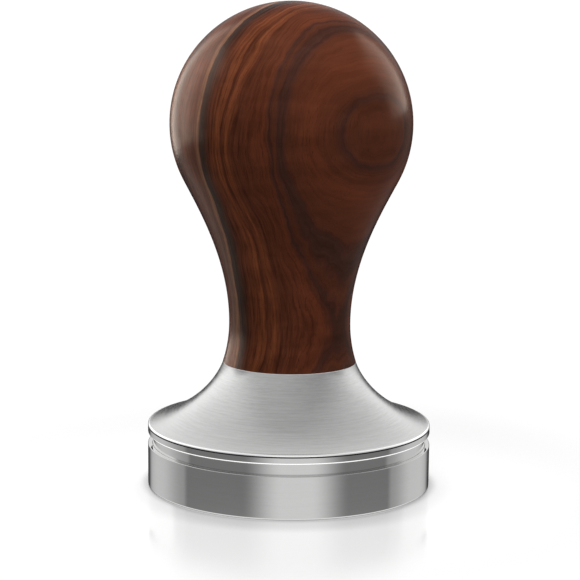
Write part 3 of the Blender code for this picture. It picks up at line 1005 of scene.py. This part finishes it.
# Soft panels at the height of the disc, seen from the object. Azimuth as for the softboxes.
# (azimuths, edge widths left and right in degrees, brightness)
PANELS = (
    ((-21, 34), (17, 17), 0.64),  # front
    ((-152, -91.5), (8, 3.0), 0.17),  # left
    ((-148, -108), (17, 17), 0.32),  # left, its soft core
    ((89.5, 152), (3.0, 8), 0.17),  # right
    ((104, 148), (15, 17), 0.34),  # right, its soft core
)
LOW_SHADE = 0.233  # between the panels
UPPER_SHADE = 0.50  # ceiling
LEFT_FILL = 0.15  # how much the ceiling brightens to the left
BACKDROP = 0.54  # the white backdrop, over the ceiling's brightness
BACKDROP_SIDES = (50, 125)
BACKDROP_FALL = (15, 80)
HORIZON_GLOW = 0.12
HORIZON_HEIGHTS = (14, 36)
FLOOR_LIGHT = 1.05  # the white table top
FLOOR_EDGE = (-27, -15)
FAR_SHADE = 0.36  # behind the object, near the horizon
FAR_SIDES = (157, 167)
# Height where the panels give way to the ceiling
FRONT_SPLIT, SIDE_SPLIT, FAR_SPLIT = 21, 6, 13
SPLIT_SIDES = (95, 125)
SPLIT_EDGE = (-4, 4)
# A dark flag behind the object draws a thin dark outline round it
FLAG_WAY = (0.0, 0.987, -0.161)
FLAG_REACH = (30, 14)  # angles from FLAG_WAY: its edge and its full shade
FLAG_TOP = (3, 8)
FLAG_SHADE = 0.03
CAMERA_WHITE = 1.05  # what the camera sees behind everything


def panel_light(graph, azimuth):
    """Brightness at the height of the disc: the panels, and the shade between them."""
    light = LOW_SHADE
    for (start, end), (soft_start, soft_end), level in PANELS:
        left = graph.turn_step(azimuth, (start - soft_start, start + soft_start))
        right = graph.turn_step(azimuth, (end - soft_end, end + soft_end), 1.0, 0.0)
        light = graph.math("MULTIPLY_ADD", graph.math("MULTIPLY", left, right), level, light)
    return light


def ceiling_light(graph, x, aside, height):
    """Brightness above the panels: the ceiling in front, the white backdrop behind."""
    start, end = (math.radians(limit) for limit in BACKDROP_FALL)
    fall = graph.node("MapRange", height, start, end, 1.0, 0.0).outputs[0]
    glow = graph.turn_step(height, HORIZON_HEIGHTS, HORIZON_GLOW, 0.0)
    backdrop = graph.math("MULTIPLY_ADD", fall, BACKDROP, glow)
    ceiling = graph.math("MULTIPLY_ADD", x, -LEFT_FILL, UPPER_SHADE)
    return graph.math("MULTIPLY_ADD", graph.turn_step(aside, BACKDROP_SIDES), backdrop, ceiling)


def studio_light(graph, way):
    """Brightness of the studio by direction."""
    x, y, z = graph.split(way)
    azimuth = graph.math("ARCTAN2", x, graph.math("MULTIPLY", y, -1.0))
    height = graph.math("ARCSINE", z)
    aside = graph.math("ABSOLUTE", azimuth)
    far = graph.turn_step(aside, FAR_SIDES)
    low_light = graph.mixed(far, panel_light(graph, azimuth), FAR_SHADE)
    high_light = ceiling_light(graph, x, aside, height)
    near_split, side_split = math.radians(FRONT_SPLIT), math.radians(SIDE_SPLIT)
    split = graph.turn_step(aside, SPLIT_SIDES, near_split, side_split)
    split = graph.mixed(far, split, math.radians(FAR_SPLIT))
    rising = graph.turn_step(graph.math("SUBTRACT", height, split), SPLIT_EDGE)
    light = graph.mixed(rising, low_light, high_light)
    light = graph.mixed(graph.turn_step(height, FLOOR_EDGE, 1.0, 0.0), light, FLOOR_LIGHT)
    edge, full = (math.cos(math.radians(angle)) for angle in FLAG_REACH)
    flag = graph.step(graph.vector("DOT_PRODUCT", way, FLAG_WAY), edge, full)
    flag = graph.math("MULTIPLY", flag, graph.turn_step(height, FLAG_TOP, 1.0, 0.0))
    return graph.mixed(flag, light, FLAG_SHADE)


def make_studio():
    """The world: a white backdrop for the camera, and soft panels of light for everything else."""
    world = bpy.data.worlds.new("studio")
    bpy.context.scene.world = world
    world.use_nodes = True
    graph = Graph(world.node_tree)
    way = graph.node("TexCoord").outputs["Generated"]
    light = studio_light(graph, way)
    seen = graph.node("LightPath").outputs["Is Camera Ray"]
    studio = graph.node("Background", graph.joined(light, light, light), 1.0).outputs[0]
    white = graph.node("Background", (*WHITE, 1.0), CAMERA_WHITE).outputs[0]
    mixed = graph.node("MixShader", seen, studio, white).outputs[0]
    world.node_tree.links.new(mixed, world.node_tree.nodes["World Output"].inputs["Surface"])


def area_light(name, azimuth, height, distance, aim, width, length, power):
    """A rectangular softbox that faces the object's axis at the height aim."""
    lamp = bpy.data.lights.new(name, "AREA")
    lamp.shape = "RECTANGLE"
    lamp.size = width
    lamp.size_y = length
    lamp.energy = power
    made = bpy.data.objects.new(name, lamp)
    turn, rise = math.radians(azimuth), math.radians(height)
    flat = math.cos(rise)
    away = Vector((math.sin(turn) * flat, -math.cos(turn) * flat, math.sin(rise)))
    made.location = away * distance + Vector((0.0, 0.0, aim))
    made.rotation_euler = away.to_track_quat("Z", "Y").to_euler()
    bpy.context.scene.collection.objects.link(made)
    return made


def keep_out_of_reflections(*pieces):
    """The collar is lit as if the knob and what it hides did not shade it."""
    for piece in pieces:
        piece.visible_glossy = False


def make_lights(knob):
    """A big overhead light for everything, and softboxes that only shine on the polished wood."""
    area_light(*TOP_BOX).visible_glossy = False
    wood_only = bpy.data.collections.new("wood_softboxes_light")
    wood_only.objects.link(knob)
    for *box_values, mirrored in WOOD_BOXES:
        box = area_light(*box_values)
        box.data.color = WARM if mirrored else WHITE
        box.visible_diffuse = not mirrored
        box.visible_glossy = mirrored
        box.light_linking.receiver_collection = wood_only


def make_camera():
    """A long lens in front of the object, a little above it and turned a little about its axis."""
    data = bpy.data.cameras.new("camera")
    data.lens = FOCAL_LENGTH_MM
    data.sensor_width = SENSOR_MM
    data.clip_start = NEAR_CLIP
    camera = bpy.data.objects.new("camera", data)
    camera.location = CAMERA_PLACE
    level = Euler((math.pi / 2 - CAMERA_PITCH, 0.0, 0.0)).to_quaternion()
    camera.rotation_mode = "QUATERNION"
    camera.rotation_quaternion = level @ Quaternion((0.0, 0.0, 1.0), CAMERA_ROLL)
    bpy.context.scene.collection.objects.link(camera)
    bpy.context.scene.camera = camera


knob_piece = make_knob()
make_collar()
make_disc()
make_spring()
keep_out_of_reflections(
    knob_piece, make_stem(), make_nut(), make_lock_washer(), make_seal(), make_insert()
)
refine_carried_nodes()
make_floor()
make_studio()
make_lights(knob_piece)
make_camera()
bpy.context.scene.view_settings.view_transform = "Standard"

bpy.context.view_layer.update()
